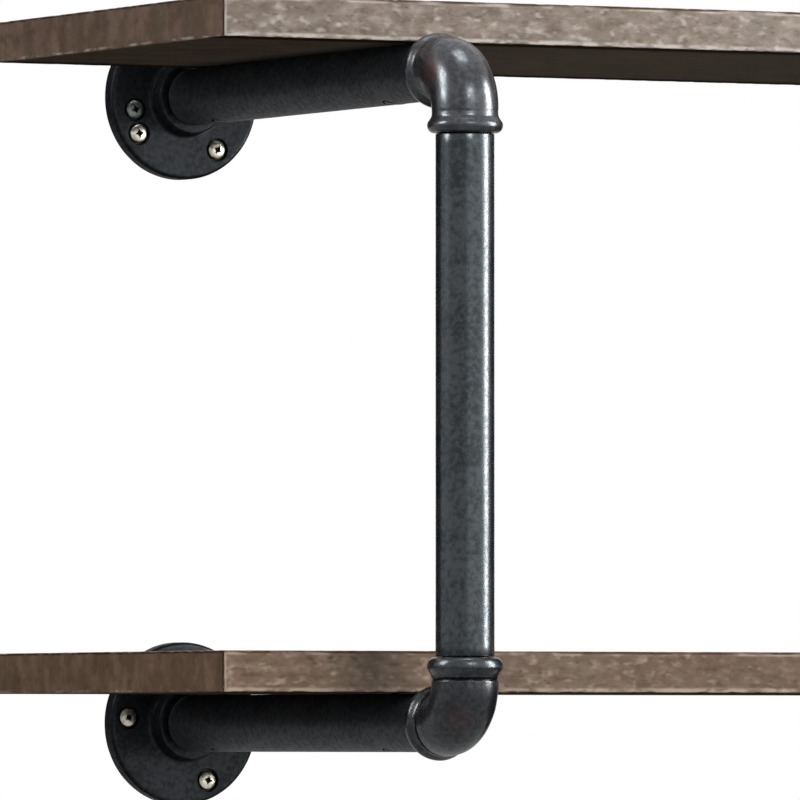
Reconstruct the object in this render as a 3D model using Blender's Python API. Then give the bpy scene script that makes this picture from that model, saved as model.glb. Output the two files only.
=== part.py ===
"""Wall shelf: two boards on two brackets of round tube, elbows and wall flanges.

Metres, +Z up. X runs along the wall and +Y points into it. The origin is on the wall's face, in the
middle of the rectangle of four flanges, so the shelf lies at Y below zero and only the wall screws
reach past it. Each bracket is two arms that leave the wall, two elbows and one upright.
"""

import math

import bmesh
import bpy
from mathutils import Matrix, Vector

MM = 0.001

# Overall layout
BOARD_LENGTH = 600 * MM
BOARD_DEPTH = 229 * MM
BOARD_THICKNESS = 18 * MM
BOARD_EDGE_BEVEL = 0.8 * MM
BOARD_OVERHANG = 98 * MM
TIER_RISE = 281 * MM

# Clearances
SEAT_GAP = 0.3 * MM
SPIGOT_CLEARANCE = 0.3 * MM
SHANK_CLEARANCE = 0.3 * MM
BOARD_TO_ELBOW_GAP = 7 * MM
BOARD_TO_HUB_GAP = 2 * MM

# Tube, with its ends drawn down to threaded spigots
TUBE_DIAMETER = 25.4 * MM
TUBE_WALL = 3.0 * MM
TUBE_EDGE_CHAMFER = 0.6 * MM
TUBE_SHOULDER = 2.25 * MM
SPIGOT_WALL = 2.4 * MM
SPIGOT_LENGTH = 12 * MM
NECK_START = 2 * MM
NECK_LENGTH = 4 * MM

# Elbow
ELBOW_WALL = 3.75 * MM
ELBOW_INNER_BEND = 3 * MM
ELBOW_STRAIGHT = 10.5 * MM
BEAD_RISE = 2 * MM
BEAD_LENGTH = 8 * MM
SOCKET_FLOOR_GAP = 1.5 * MM
SOCKET_FLOOR_WIDTH = 2.25 * MM

# Wall flange
FLANGE_DIAMETER = 73 * MM
FLANGE_THICKNESS = 7.5 * MM
FLANGE_RIM_ROUND = 2 * MM
HUB_WALL = 5.75 * MM
HUB_HEIGHT = 16 * MM
HUB_FILLET = 2 * MM
HUB_EDGE_CHAMFER = 1.2 * MM

# Wall screws, and where they sit on each flange, in degrees round it seen from the front
UPPER_SCREW_ANGLES = (35.4, 125.4, 215.4, 305.4)
LOWER_SCREW_ANGLES = (54.5, 174.5, 294.5)
SCREW_TO_RIM = 8.5 * MM
SPARE_SCREW_ANGLE = 192.6
SPARE_SCREW_TO_RIM = 11.2 * MM
WALL_SCREW_HEAD_DIAMETER = 8.4 * MM
WALL_SCREW_HEAD_HEIGHT = 2.3 * MM
WALL_SCREW_HEAD_CLEARANCE = 0.9 * MM
WALL_SCREW_SHANK_DIAMETER = 4.2 * MM
WALL_SCREW_LENGTH = 32 * MM
WALL_COUNTERBORE_DEPTH = 2.0 * MM
WALL_RECESS_WIDTH = 3.6 * MM
WALL_RECESS_SLOT = 0.9 * MM
WALL_RECESS_DEPTH = 1.3 * MM
SCREW_POINT_LENGTH = 5 * MM
SCREW_HEAD_BRIM = 0.45
SCREW_HEAD_CROWN = 0.7

# Screws that hold the boards, driven up through the arms
BOARD_SCREW_INSET = 30 * MM
BOARD_SCREW_TO_TOP = 6 * MM
BOARD_SCREW_HEAD_DIAMETER = 10.6 * MM
BOARD_SCREW_HEAD_HEIGHT = 1.8 * MM
BOARD_SCREW_HEAD_CLEARANCE = 0.7 * MM
BOARD_SCREW_SHANK_DIAMETER = 4.2 * MM
BOARD_RECESS_WIDTH = 4.4 * MM
BOARD_RECESS_SLOT = 1.1 * MM
BOARD_RECESS_DEPTH = 1.0 * MM
PILOT_SPARE_DEPTH = 1.5 * MM

# Facets round a turned piece, and the stations along a curve
TUBE_STEPS = 24
ELBOW_STEPS = 24
FLANGE_STEPS = 28
HOLE_STEPS = 10
SCREW_STEPS = 10
BEAD_STATIONS = 4
BEND_STATIONS = 5
PASSAGE_STATIONS = 2
RIM_STATIONS = 3
FILLET_STATIONS = 2
BEVEL_SEGMENTS = 2
ROUND_PROFILE = 0.5
SHARP_ANGLE = math.radians(35)

# Values that several pieces share
TUBE_RADIUS = TUBE_DIAMETER / 2
SPIGOT_RADIUS = TUBE_RADIUS - TUBE_SHOULDER
SOCKET_RADIUS = SPIGOT_RADIUS + SPIGOT_CLEARANCE
SOCKET_DEPTH = SPIGOT_LENGTH + SOCKET_FLOOR_GAP
PASSAGE_RADIUS = SOCKET_RADIUS - SOCKET_FLOOR_WIDTH
ELBOW_RADIUS = SOCKET_RADIUS + ELBOW_WALL
ELBOW_BEND_RADIUS = ELBOW_RADIUS + ELBOW_INNER_BEND
ELBOW_REACH = ELBOW_BEND_RADIUS + ELBOW_STRAIGHT
PASSAGE_BEND_RADIUS = ELBOW_REACH - SOCKET_DEPTH
BOARD_SETBACK = ELBOW_REACH + BOARD_TO_ELBOW_GAP
BOARD_BACK = -HUB_HEIGHT - BOARD_TO_HUB_GAP
BOARD_FRONT = BOARD_BACK - BOARD_DEPTH
UPRIGHT_TO_WALL = BOARD_SETBACK - BOARD_FRONT
BRACKET_SPACING = BOARD_LENGTH - 2 * BOARD_OVERHANG
ARM_LENGTH = UPRIGHT_TO_WALL - ELBOW_REACH - HUB_HEIGHT - 2 * SEAT_GAP
UPRIGHT_LENGTH = TIER_RISE - 2 * ELBOW_REACH - 2 * SEAT_GAP
BOARD_SCREW_DEPTHS = {
    "front": BOARD_FRONT + BOARD_SCREW_INSET,
    "back": BOARD_BACK - BOARD_SCREW_INSET,
}
BOARD_SCREW_GRIP = BOARD_THICKNESS - BOARD_SCREW_TO_TOP
BOARD_COUNTERBORE_DEPTH = BOARD_SCREW_HEAD_HEIGHT + SEAT_GAP
SIDES = {"left": -1, "right": 1}
TIERS = {"lower": -1, "upper": 1}
FACE_THE_ROOM = (math.radians(90), 0, 0)
CUT_OVERSHOOT = 2 * MM


def clear_scene():
    """Removes what the startup scene holds."""
    for obj in list(bpy.data.objects):
        bpy.data.objects.remove(obj, do_unlink=True)


def make_material(name, colour, roughness, metallic):
    """A Principled material with one colour."""
    material = bpy.data.materials.new(name)
    material.use_nodes = True
    shader = material.node_tree.nodes["Principled BSDF"]
    shader.inputs["Base Color"].default_value = (*colour, 1)
    shader.inputs["Roughness"].default_value = roughness
    shader.inputs["Metallic"].default_value = metallic
    material.diffuse_color = (*colour, 1)
    return material


def mesh_from(bm, name, material):
    """A mesh with its faces outward, smooth but for its real edges."""
    bmesh.ops.remove_doubles(bm, verts=bm.verts, dist=1e-6)
    bmesh.ops.recalc_face_normals(bm, faces=bm.faces)
    mesh = bpy.data.meshes.new(name)
    bm.to_mesh(mesh)
    bm.free()
    mesh.shade_smooth()
    mesh.set_sharp_from_angle(angle=SHARP_ANGLE)
    mesh.materials.append(material)
    return mesh


def turned(profile, steps):
    """A bmesh turned about Z from (radius, height) points. A profile off the axis is a closed loop."""
    bm = bmesh.new()
    corners = [bm.verts.new((radius, 0, height)) for radius, height in profile]
    edges = [bm.edges.new(pair) for pair in zip(corners, corners[1:])]
    if profile[0][0] > 0:
        edges.append(bm.edges.new((corners[-1], corners[0])))
    bmesh.ops.spin(
        bm,
        geom=corners + edges,
        cent=(0, 0, 0),
        axis=(0, 0, 1),
        angle=math.tau,
        steps=steps,
        use_merge=True,
    )
    bmesh.ops.remove_doubles(bm, verts=bm.verts, dist=1e-6)
    return bm


def quarter_round(centre, radius, first, last, stations):
    """Points of an arc in the profile plane, from one angle to another, both in degrees."""
    angles = [first + (last - first) * i / stations for i in range(stations + 1)]
    return [
        (centre[0] + radius * math.cos(math.radians(a)), centre[1] + radius * math.sin(math.radians(a)))
        for a in angles
    ]


def place(name, mesh, location, rotation=(0, 0, 0), parent=None):
    """An object for one sub-part."""
    obj = bpy.data.objects.new(name, mesh)
    obj.location = location
    obj.rotation_euler = rotation
    obj.parent = parent
    bpy.context.scene.collection.objects.link(obj)
    return obj


def cut(mesh, cutters, name, material):
    """The mesh less each cutter in turn, each a bmesh with the matrix that places it."""
    body = place("cut_body", mesh, (0, 0, 0))
    tools = []
    for cutter, matrix in cutters:
        cutter_mesh = bpy.data.meshes.new("cutter")
        bmesh.ops.recalc_face_normals(cutter, faces=cutter.faces)
        cutter.to_mesh(cutter_mesh)
        cutter.free()
        tool = place("cut_tool", cutter_mesh, (0, 0, 0))
        tool.matrix_world = matrix
        tool.hide_render = True
        tool.display_type = "WIRE"
        boolean = body.modifiers.new("hole", "BOOLEAN")
        boolean.operation = "DIFFERENCE"
        boolean.solver = "EXACT"
        boolean.object = tool
        tools.append(tool)
    bpy.context.view_layer.update()
    evaluated = body.evaluated_get(bpy.context.evaluated_depsgraph_get())
    result = bmesh.new()
    result.from_mesh(evaluated.to_mesh())
    evaluated.to_mesh_clear()
    for obj in [body, *tools]:
        used = obj.data
        bpy.data.objects.remove(obj, do_unlink=True)
        bpy.data.meshes.remove(used)
    return mesh_from(result, name, material)


def stepped_cutter(shank_radius, counterbore_radius, floor, low, high):
    """A cutter for a through hole with a counterbore above its floor height."""
    profile = [
        (0, low),
        (shank_radius, low),
        (shank_radius, floor),
        (counterbore_radius, floor),
        (counterbore_radius, high),
        (0, high),
    ]
    return turned(profile, HOLE_STEPS)


def cross_cutter(width, slot, depth, top):
    """A cutter for a cross recess, sunk from the height of the head's top."""
    half, arm = width / 2, slot / 2
    quarter = [(half, -arm), (half, arm), (arm, arm)]
    outline = [
        (x * math.cos(turn) - y * math.sin(turn), x * math.sin(turn) + y * math.cos(turn))
        for turn in (i * math.pi / 2 for i in range(4))
        for x, y in quarter
    ]
    bm = bmesh.new()
    floor = bm.faces.new([bm.verts.new((x, y, top - depth)) for x, y in outline])
    raised = bmesh.ops.extrude_face_region(bm, geom=[floor])
    corners = [item for item in raised["geom"] if isinstance(item, bmesh.types.BMVert)]
    bmesh.ops.translate(bm, verts=corners, vec=(0, 0, depth + CUT_OVERSHOOT))
    return bm


def tube_mesh(length, name, material):
    """A tube along Z from 0 to its length between shoulders, with a spigot past each end."""
    outer = TUBE_RADIUS
    bore = outer - TUBE_WALL
    spigot = SPIGOT_RADIUS
    spigot_bore = spigot - SPIGOT_WALL
    edge = TUBE_EDGE_CHAMFER
    one_end = [
        (outer, length - edge),
        (outer - edge, length),
        (spigot, length),
        (spigot, length + SPIGOT_LENGTH),
        (spigot_bore, length + SPIGOT_LENGTH),
        (spigot_bore, length - NECK_START),
        (bore, length - NECK_START - NECK_LENGTH),
    ]
    other_end = [(radius, length - height) for radius, height in reversed(one_end)]
    return mesh_from(turned(one_end + other_end, TUBE_STEPS), name, material)


def upright_mesh(material):
    """The upright tube between a bracket's elbows."""
    return tube_mesh(UPRIGHT_LENGTH, "upright", material)


def arm_mesh(material):
    """An arm along Z from the hub to the elbow, cut from below for the two board screws."""
    start = HUB_HEIGHT + SEAT_GAP
    cutters = []
    for depth in BOARD_SCREW_DEPTHS.values():
        cutter = stepped_cutter(
            BOARD_SCREW_SHANK_DIAMETER / 2 + SHANK_CLEARANCE,
            BOARD_SCREW_HEAD_DIAMETER / 2 + BOARD_SCREW_HEAD_CLEARANCE,
            TUBE_RADIUS - BOARD_COUNTERBORE_DEPTH,
            -TUBE_RADIUS - CUT_OVERSHOOT,
            TUBE_RADIUS + CUT_OVERSHOOT,
        )
        aim_down = Matrix.Rotation(math.radians(90), 4, "X")
        cutters.append((cutter, Matrix.Translation((0, 0, -depth - start)) @ aim_down))
    return cut(tube_mesh(ARM_LENGTH, "arm_blank", material), cutters, "arm", material)


def elbow_length(bend_radius):
    """How long an elbow's centre line is from mouth to mouth."""
    return 2 * (ELBOW_REACH - bend_radius) + bend_radius * math.pi / 2


def elbow_path(distance, bend_radius):
    """Where an elbow's centre line is, and its direction, this far from the lower mouth."""
    straight = ELBOW_REACH - bend_radius
    arc = bend_radius * math.pi / 2
    if distance <= straight:
        return Vector((0, 0, distance - ELBOW_REACH)), Vector((0, 0, 1))
    if distance >= straight + arc:
        past = distance - straight - arc
        return Vector((0, bend_radius + past, 0)), Vector((0, 1, 0))
    turn = (distance - straight) / bend_radius
    centre = Vector((0, bend_radius * (1 - math.cos(turn)), bend_radius * (math.sin(turn) - 1)))
    return centre, Vector((0, math.sin(turn), math.cos(turn)))


def elbow_outside():
    """(distance, radius) of each ring over the outside, from the lower mouth to the other."""
    bead = []
    for i in range(BEAD_STATIONS + 1):
        angle = math.pi * i / BEAD_STATIONS
        distance = BEAD_LENGTH / 2 * (1 - math.cos(angle))
        bead.append((distance, ELBOW_RADIUS + BEAD_RISE * math.sin(angle)))
    arc = ELBOW_BEND_RADIUS * math.pi / 2
    bend = [
        (ELBOW_STRAIGHT + arc * i / BEND_STATIONS, ELBOW_RADIUS) for i in range(BEND_STATIONS + 1)
    ]
    whole = elbow_length(ELBOW_BEND_RADIUS)
    return bead + bend + [(whole - distance, radius) for distance, radius in reversed(bead)]


def elbow_inside():
    """(distance, radius) of each ring through both sockets and the passage, back to the lower mouth."""
    socket = [(0, SOCKET_RADIUS), (SOCKET_DEPTH, SOCKET_RADIUS), (SOCKET_DEPTH, PASSAGE_RADIUS)]
    whole = elbow_length(PASSAGE_BEND_RADIUS)
    passage = whole - 2 * SOCKET_DEPTH
    middle = [
        (SOCKET_DEPTH + passage * (1 - i / PASSAGE_STATIONS), PASSAGE_RADIUS)
        for i in range(1, PASSAGE_STATIONS)
    ]
    return [(whole - distance, radius) for distance, radius in socket] + middle + socket[::-1]


def elbow_mesh(material):
    """An elbow whose mouths face down and towards the wall, about the crossing of its axes."""
    bm = bmesh.new()
    stations = [(ELBOW_BEND_RADIUS, *station) for station in elbow_outside()]
    stations += [(PASSAGE_BEND_RADIUS, *station) for station in elbow_inside()]
    rings = []
    for bend_radius, distance, radius in stations:
        centre, along = elbow_path(distance, bend_radius)
        across = along.cross(Vector((1, 0, 0)))
        ring = []
        for i in range(ELBOW_STEPS):
            angle = math.tau * i / ELBOW_STEPS
            spoke = Vector((math.cos(angle), 0, 0)) + across * math.sin(angle)
            ring.append(bm.verts.new(centre + radius * spoke))
        rings.append(ring)
    for ring, following in zip(rings, rings[1:] + rings[:1]):
        for i in range(ELBOW_STEPS):
            j = (i + 1) % ELBOW_STEPS
            bm.faces.new((ring[i], ring[j], following[j], following[i]))
    return mesh_from(bm, "elbow", material)


def flange_blank(material):
    """A flange along Z from the wall at 0 to its hub's face, with no screw holes."""
    rim = FLANGE_DIAMETER / 2
    hub = SOCKET_RADIUS + HUB_WALL
    rim_centre = (rim - FLANGE_RIM_ROUND, FLANGE_THICKNESS - FLANGE_RIM_ROUND)
    fillet_centre = (hub + HUB_FILLET, FLANGE_THICKNESS + HUB_FILLET)
    profile = [(SOCKET_RADIUS, 0), (rim, 0)]
    profile += quarter_round(rim_centre, FLANGE_RIM_ROUND, 0, 90, RIM_STATIONS)
    profile += quarter_round(fillet_centre, HUB_FILLET, 270, 180, FILLET_STATIONS)
    profile += [
        (hub, HUB_HEIGHT - HUB_EDGE_CHAMFER),
        (hub - HUB_EDGE_CHAMFER, HUB_HEIGHT),
        (SOCKET_RADIUS, HUB_HEIGHT),
    ]
    return mesh_from(turned(profile, FLANGE_STEPS), "flange_blank", material)


def screw_places(tier, side):
    """Where a flange's screws go, as (x, z) from its centre. The right bracket mirrors the left."""
    angles = UPPER_SCREW_ANGLES if tier == "upper" else LOWER_SCREW_ANGLES
    rim = FLANGE_DIAMETER / 2
    places = [(rim - SCREW_TO_RIM, angle) for angle in angles]
    if tier == "upper":
        places.append((rim - SPARE_SCREW_TO_RIM, SPARE_SCREW_ANGLE))
    return [
        (-SIDES[side] * radius * math.cos(math.radians(angle)), radius * math.sin(math.radians(angle)))
        for radius, angle in places
    ]


def flange_mesh(tier, side, material):
    """A flange with the counterbored holes of its tier and side."""
    cutters = []
    for x, z in screw_places(tier, side):
        cutter = stepped_cutter(
            WALL_SCREW_SHANK_DIAMETER / 2 + SHANK_CLEARANCE,
            WALL_SCREW_HEAD_DIAMETER / 2 + WALL_SCREW_HEAD_CLEARANCE,
            FLANGE_THICKNESS - WALL_COUNTERBORE_DEPTH,
            -CUT_OVERSHOOT,
            FLANGE_THICKNESS + CUT_OVERSHOOT,
        )
        cutters.append((cutter, Matrix.Translation((x, z, 0))))
    return cut(flange_blank(material), cutters, f"{side}_{tier}_flange", material)


def screw_mesh(name, head_diameter, head_height, shank_diameter, length, recess, material):
    """A screw along Z: its head stands on 0, and its point is a screw's length below."""
    head = head_diameter / 2
    shank = shank_diameter / 2
    profile = [
        (0, -length),
        (shank, -length + SCREW_POINT_LENGTH),
        (shank, 0),
        (head, 0),
        (head, head_height * SCREW_HEAD_BRIM),
        (head * SCREW_HEAD_CROWN, head_height),
        (0, head_height),
    ]
    blank = mesh_from(turned(profile, SCREW_STEPS), "screw_blank", material)
    width, slot, depth = recess
    cutter = cross_cutter(width, slot, depth, head_height)
    return cut(blank, [(cutter, Matrix.Identity(4))], name, material)


def wall_screw_mesh(material):
    """The pan head screw that holds a flange to the wall."""
    recess = (WALL_RECESS_WIDTH, WALL_RECESS_SLOT, WALL_RECESS_DEPTH)
    return screw_mesh(
        "wall_screw",
        WALL_SCREW_HEAD_DIAMETER,
        WALL_SCREW_HEAD_HEIGHT,
        WALL_SCREW_SHANK_DIAMETER,
        WALL_SCREW_LENGTH,
        recess,
        material,
    )


def board_screw_mesh(material):
    """The low-headed screw that passes up through an arm into a board."""
    recess = (BOARD_RECESS_WIDTH, BOARD_RECESS_SLOT, BOARD_RECESS_DEPTH)
    length = TUBE_DIAMETER - BOARD_SCREW_HEAD_HEIGHT + SEAT_GAP + BOARD_SCREW_GRIP
    return screw_mesh(
        "board_screw",
        BOARD_SCREW_HEAD_DIAMETER,
        BOARD_SCREW_HEAD_HEIGHT,
        BOARD_SCREW_SHANK_DIAMETER,
        length,
        recess,
        material,
    )


def board_mesh(material):
    """A board centred on X, from its back to its front edge, with its underside at 0."""
    size = Vector((BOARD_LENGTH, BOARD_DEPTH, BOARD_THICKNESS))
    middle = Vector((0, (BOARD_FRONT + BOARD_BACK) / 2, BOARD_THICKNESS / 2))
    bm = bmesh.new()
    bmesh.ops.create_cube(bm, size=1, matrix=Matrix.Translation(middle) @ Matrix.Diagonal((*size, 1)))
    bmesh.ops.bevel(
        bm,
        geom=bm.edges[:],
        offset=BOARD_EDGE_BEVEL,
        segments=BEVEL_SEGMENTS,
        profile=ROUND_PROFILE,
        affect="EDGES",
        clamp_overlap=True,
    )
    blank = mesh_from(bm, "board_blank", material)
    radius = BOARD_SCREW_SHANK_DIAMETER / 2 + SHANK_CLEARANCE
    depth = BOARD_SCREW_GRIP + PILOT_SPARE_DEPTH
    cutters = []
    for sign in SIDES.values():
        for y in BOARD_SCREW_DEPTHS.values():
            profile = [(0, -CUT_OVERSHOOT), (radius, -CUT_OVERSHOOT), (radius, depth), (0, depth)]
            where = Matrix.Translation((sign * BRACKET_SPACING / 2, y, 0))
            cutters.append((turned(profile, HOLE_STEPS), where))
    return cut(blank, cutters, "board", material)


def build_bracket(side, meshes, flanges):
    """One bracket under an empty that stands at the flanges' middle."""
    frame = bpy.data.objects.new(f"{side}_bracket", None)
    frame.location = (SIDES[side] * BRACKET_SPACING / 2, 0, 0)
    bpy.context.scene.collection.objects.link(frame)
    foot = -TIER_RISE / 2 + ELBOW_REACH + SEAT_GAP
    place(f"{side}_upright", meshes["upright"], (0, -UPRIGHT_TO_WALL, foot), parent=frame)
    for tier, sign in TIERS.items():
        height = sign * TIER_RISE / 2
        name = f"{side}_{tier}"
        place(f"{name}_flange", flanges[side, tier], (0, 0, height), FACE_THE_ROOM, frame)
        start = (0, -HUB_HEIGHT - SEAT_GAP, height)
        place(f"{name}_arm", meshes["arm"], start, FACE_THE_ROOM, frame)
        turn = (0, 0, 0) if tier == "upper" else (math.radians(90), 0, 0)
        place(f"{name}_elbow", meshes["elbow"], (0, -UPRIGHT_TO_WALL, height), turn, frame)
        head_seat = -(FLANGE_THICKNESS - WALL_COUNTERBORE_DEPTH) - SEAT_GAP
        for number, (x, z) in enumerate(screw_places(tier, side), start=1):
            where = (x, head_seat, height + z)
            place(f"{name}_wall_screw_{number}", meshes["wall_screw"], where, FACE_THE_ROOM, frame)
        under = height - TUBE_RADIUS + BOARD_SCREW_HEAD_HEIGHT
        for end, y in BOARD_SCREW_DEPTHS.items():
            where = (0, y, under)
            place(f"{name}_board_screw_{end}", meshes["board_screw"], where, (math.pi, 0, 0), frame)


def build_shelf():
    """The whole shelf."""
    tube_finish = make_material("tube_finish", (0.045, 0.047, 0.052), 0.38, 0.8)
    fitting_finish = make_material("fitting_finish", (0.050, 0.051, 0.056), 0.36, 0.8)
    flange_finish = make_material("flange_finish", (0.028, 0.029, 0.031), 0.5, 0.7)
    board_finish = make_material("board_finish", (0.21, 0.16, 0.125), 0.7, 0.0)
    screw_finish = make_material("wall_screw_finish", (0.72, 0.70, 0.62), 0.3, 1.0)
    dark_screw_finish = make_material("board_screw_finish", (0.02, 0.02, 0.021), 0.45, 0.7)
    meshes = {
        "upright": upright_mesh(tube_finish),
        "arm": arm_mesh(tube_finish),
        "elbow": elbow_mesh(fitting_finish),
        "wall_screw": wall_screw_mesh(screw_finish),
        "board_screw": board_screw_mesh(dark_screw_finish),
    }
    flanges = {
        (side, tier): flange_mesh(tier, side, flange_finish) for side in SIDES for tier in TIERS
    }
    for side in SIDES:
        build_bracket(side, meshes, flanges)
    board = board_mesh(board_finish)
    for tier, sign in TIERS.items():
        underside = sign * TIER_RISE / 2 + TUBE_RADIUS + SEAT_GAP
        place(f"{tier}_board", board, (0, 0, underside))


clear_scene()
build_shelf()
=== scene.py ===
"""Looks of a wall shelf: two worn wooden boards on brackets of dark tube, cast elbows and wall flanges.

Metres, +Z up, +X along the wall and +Y into it. Each piece stands where its solid stands.
"""

import math
from functools import reduce

import bmesh
import bpy
import numpy as np
from mathutils import Matrix, Vector, noise


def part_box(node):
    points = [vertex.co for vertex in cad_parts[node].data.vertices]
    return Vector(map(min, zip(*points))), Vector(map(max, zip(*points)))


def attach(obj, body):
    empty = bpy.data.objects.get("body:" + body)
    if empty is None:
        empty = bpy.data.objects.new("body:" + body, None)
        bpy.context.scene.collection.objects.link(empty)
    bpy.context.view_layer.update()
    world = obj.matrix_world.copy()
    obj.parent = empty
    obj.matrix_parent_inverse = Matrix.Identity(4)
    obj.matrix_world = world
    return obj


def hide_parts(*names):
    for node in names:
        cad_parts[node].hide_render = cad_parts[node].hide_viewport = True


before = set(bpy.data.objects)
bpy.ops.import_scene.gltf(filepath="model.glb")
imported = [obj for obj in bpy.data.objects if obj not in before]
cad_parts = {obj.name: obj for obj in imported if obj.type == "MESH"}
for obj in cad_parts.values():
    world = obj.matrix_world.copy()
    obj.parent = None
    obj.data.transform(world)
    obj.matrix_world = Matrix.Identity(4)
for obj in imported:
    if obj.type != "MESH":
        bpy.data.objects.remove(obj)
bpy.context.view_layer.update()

MM = 0.001
SIDES = ("left", "right")
TIERS = ("upper", "lower")

# Each corner of the shelf has a flange, an arm and an elbow
CORNERS = [(side, tier) for side in SIDES for tier in TIERS]

# The photograph's camera: a long lens from the left, a little below the middle of the shelf
CAMERA_AZIMUTH = -26.994
CAMERA_ELEVATION = -1.617
CAMERA_DISTANCE = 5.1383
CAMERA_TARGET = Vector((-0.2333, -0.2820, -0.0025))
CAMERA_LENS = 540.43
CAMERA_CLIP = (0.1, 200)
SENSOR_WIDTH = 36

# The tube's radius, from an upright's box
upright_low, upright_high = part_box("left_upright")
TUBE_RADIUS = (upright_high.x - upright_low.x) / 2

# Sizes that the solids have too, and that their boxes don't tell
SOCKET_RADIUS = 10.75 * MM
SOCKET_DEPTH = 13.5 * MM
PASSAGE_RADIUS = 8.5 * MM
ELBOW_RADIUS = 14.5 * MM
ELBOW_BEND_RADIUS = 17.5 * MM
ELBOW_REACH = 28 * MM
SPIGOT_LENGTH = 12 * MM
SPIGOT_RADIUS = 10.45 * MM
SPIGOT_BORE_RADIUS = 8.05 * MM
TUBE_WALL = 3 * MM
TUBE_CHAMFER = 0.6 * MM
NECK_START = 2 * MM
NECK_LENGTH = 4 * MM
FLANGE_THICKNESS = 7.5 * MM
FLANGE_RIM_ROUND = 2 * MM
HUB_RADIUS = 16.5 * MM
HUB_FILLET = 2 * MM
HUB_CHAMFER = 1.2 * MM
WALL_COUNTERBORE_RADIUS = 5.1 * MM
WALL_COUNTERBORE_DEPTH = 2 * MM
BOARD_COUNTERBORE_RADIUS = 6 * MM
SCREW_HOLE_RADIUS = 2.4 * MM
SEAT_GAP = 0.3 * MM
WALL_HEAD_HEIGHT = 2.3 * MM
BOARD_HEAD_HEIGHT = 1.8 * MM

# Fine shape that only the looks have
SOCKET_LEAD_IN = 0.9 * MM
SOCKET_THREAD_START = 0.6 * MM
BEAD_MOUTH_RADIUS = 13.3 * MM
BEAD_RADIUS = 16.45 * MM
BEAD_FULLNESS = 0.9
BEAD_CROWN = {"upper": 3.4 * MM, "lower": 4.2 * MM}
BEAD_FOOT = {"upper": 7.8 * MM, "lower": 8.5 * MM}
GROOVE_DEPTH = {"upper": 0.1 * MM, "lower": 0.5 * MM}
GROOVE_END = 10.3 * MM
PIPE_PITCH = 1.81 * MM
PIPE_THREAD_DEPTH = 0.55 * MM
SCREW_PITCH = 1.7 * MM
SCREW_ROOT_RADIUS = 1.45 * MM
SCREW_CREST_RADIUS = 2.1 * MM
SCREW_NECK_LENGTH = 4 * MM
SCREW_NECK_SWELL = 1.15
SCREW_NECK_BLEND = 0.3 * MM
SCREW_POINT_LENGTH = 6 * MM
SCREW_POINT_FULLNESS = 0.8
SCREW_TURN = 0.7
HEAD_BRIM_SHARE = 0.32
HEAD_BRIM_BREAK = 0.2 * MM
HEAD_FULLNESS = 0.75
CAST_WAVE = 0.16 * MM
CAST_WAVE_SIZE = 9 * MM
FLANGE_WAVE = CAST_WAVE * 0.6
TUBE_WAVE = 0.05 * MM
TUBE_WAVE_SIZE = 22 * MM
WAVE_GAIN = 0.8
RIDGE_FULLNESS = 1.4
CHAMFER_BEND = 0.3
EDGE_BREAK = 0.3 * MM
BOARD_ROUND = 0.7 * MM
CHIP_DEPTH = 0.55 * MM
CHIP_REACH = 2.4 * MM
CHIP_SIZE = 5 * MM
CHIP_START = 0.12
CHIP_GAIN = 2.2
SMALL_CHIP_START = 0.1
SMALL_CHIP_SHARE = 0.5
SMALL_CHIP_FINENESS = 2.7

# Width, slot width, pit and depth of each screw's cross recess, and its scale at its top and its foot
WALL_RECESS = (3.9 * MM, 0.8 * MM, 2.6 * MM, 1.7 * MM)
BOARD_RECESS = (4.8 * MM, 1.1 * MM, 2.4 * MM, 1.2 * MM)
RECESS_TAPER = (1.2, 0.6)

# How far a cutter reaches past the face it opens, and how deep the flanges' uneven skin dips
CUT_PAST = 2 * MM
RECESS_CUT_PAST = 1 * MM
SKIN_DIP = 0.1 * MM

# How the name of a spare wall screw ends. Its metal is duller than the others'.
SPARE_SCREW = "_5"

# How each board's stain takes red, green and blue, beside the shared colours
STAIN = {"upper": (1.06, 1.05, 1.03), "lower": (1.03, 0.89, 0.745)}
END_STAIN = {"upper": (1.07, 1.05, 1.03), "lower": (1.16, 1.13, 1.08)}

# How much darker each board's stain grows from its left end to its middle
DEEPENING = {"upper": 0.0, "lower": 0.28}

# Where each board starts in the noise of its wood, and each kind of piece in the noise of its shape
WOOD_SEED = {"upper": 1.7, "lower": 7.0}
SHAPE_SEED = {"upright": 1, "board": 3, "arm": 5, "elbow": 11, "flange": 21}
WAVE_SEED_STEPS = (7.3, 3.1, 5.7)
CHIP_SEED_STEPS = (11.3, 4.9, 8.1)

# Sizes and levels of the studio
AMBIENT = 0.05
FLOOR_SIZE = 40
FLOOR_HEIGHT = -1.4
FLOOR_GLOWS = (0.5, 1.0)
FLOOR_GLOW_REACH = (0.0, 5.0)
FLOOR_GLOSSY_GLOW = 0.55
FLOOR_TONES = ((0.72, 0.72, 0.72), (0.76, 0.76, 0.76))
FLOOR_TONE_FOR_LIGHT = (0.2, 0.2, 0.2)
CARD_TONES = ((0.01, 0.01, 0.01), (0.02, 0.02, 0.02))
WALL_HEIGHT = 20
WALL_GAP = 0.5 * MM
WALL_FOOT_GLOW = 0.9
WALL_FOOT_REACH = 0.9
LIT_POINT = Vector((-0.15, -0.15, 0.05))

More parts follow.
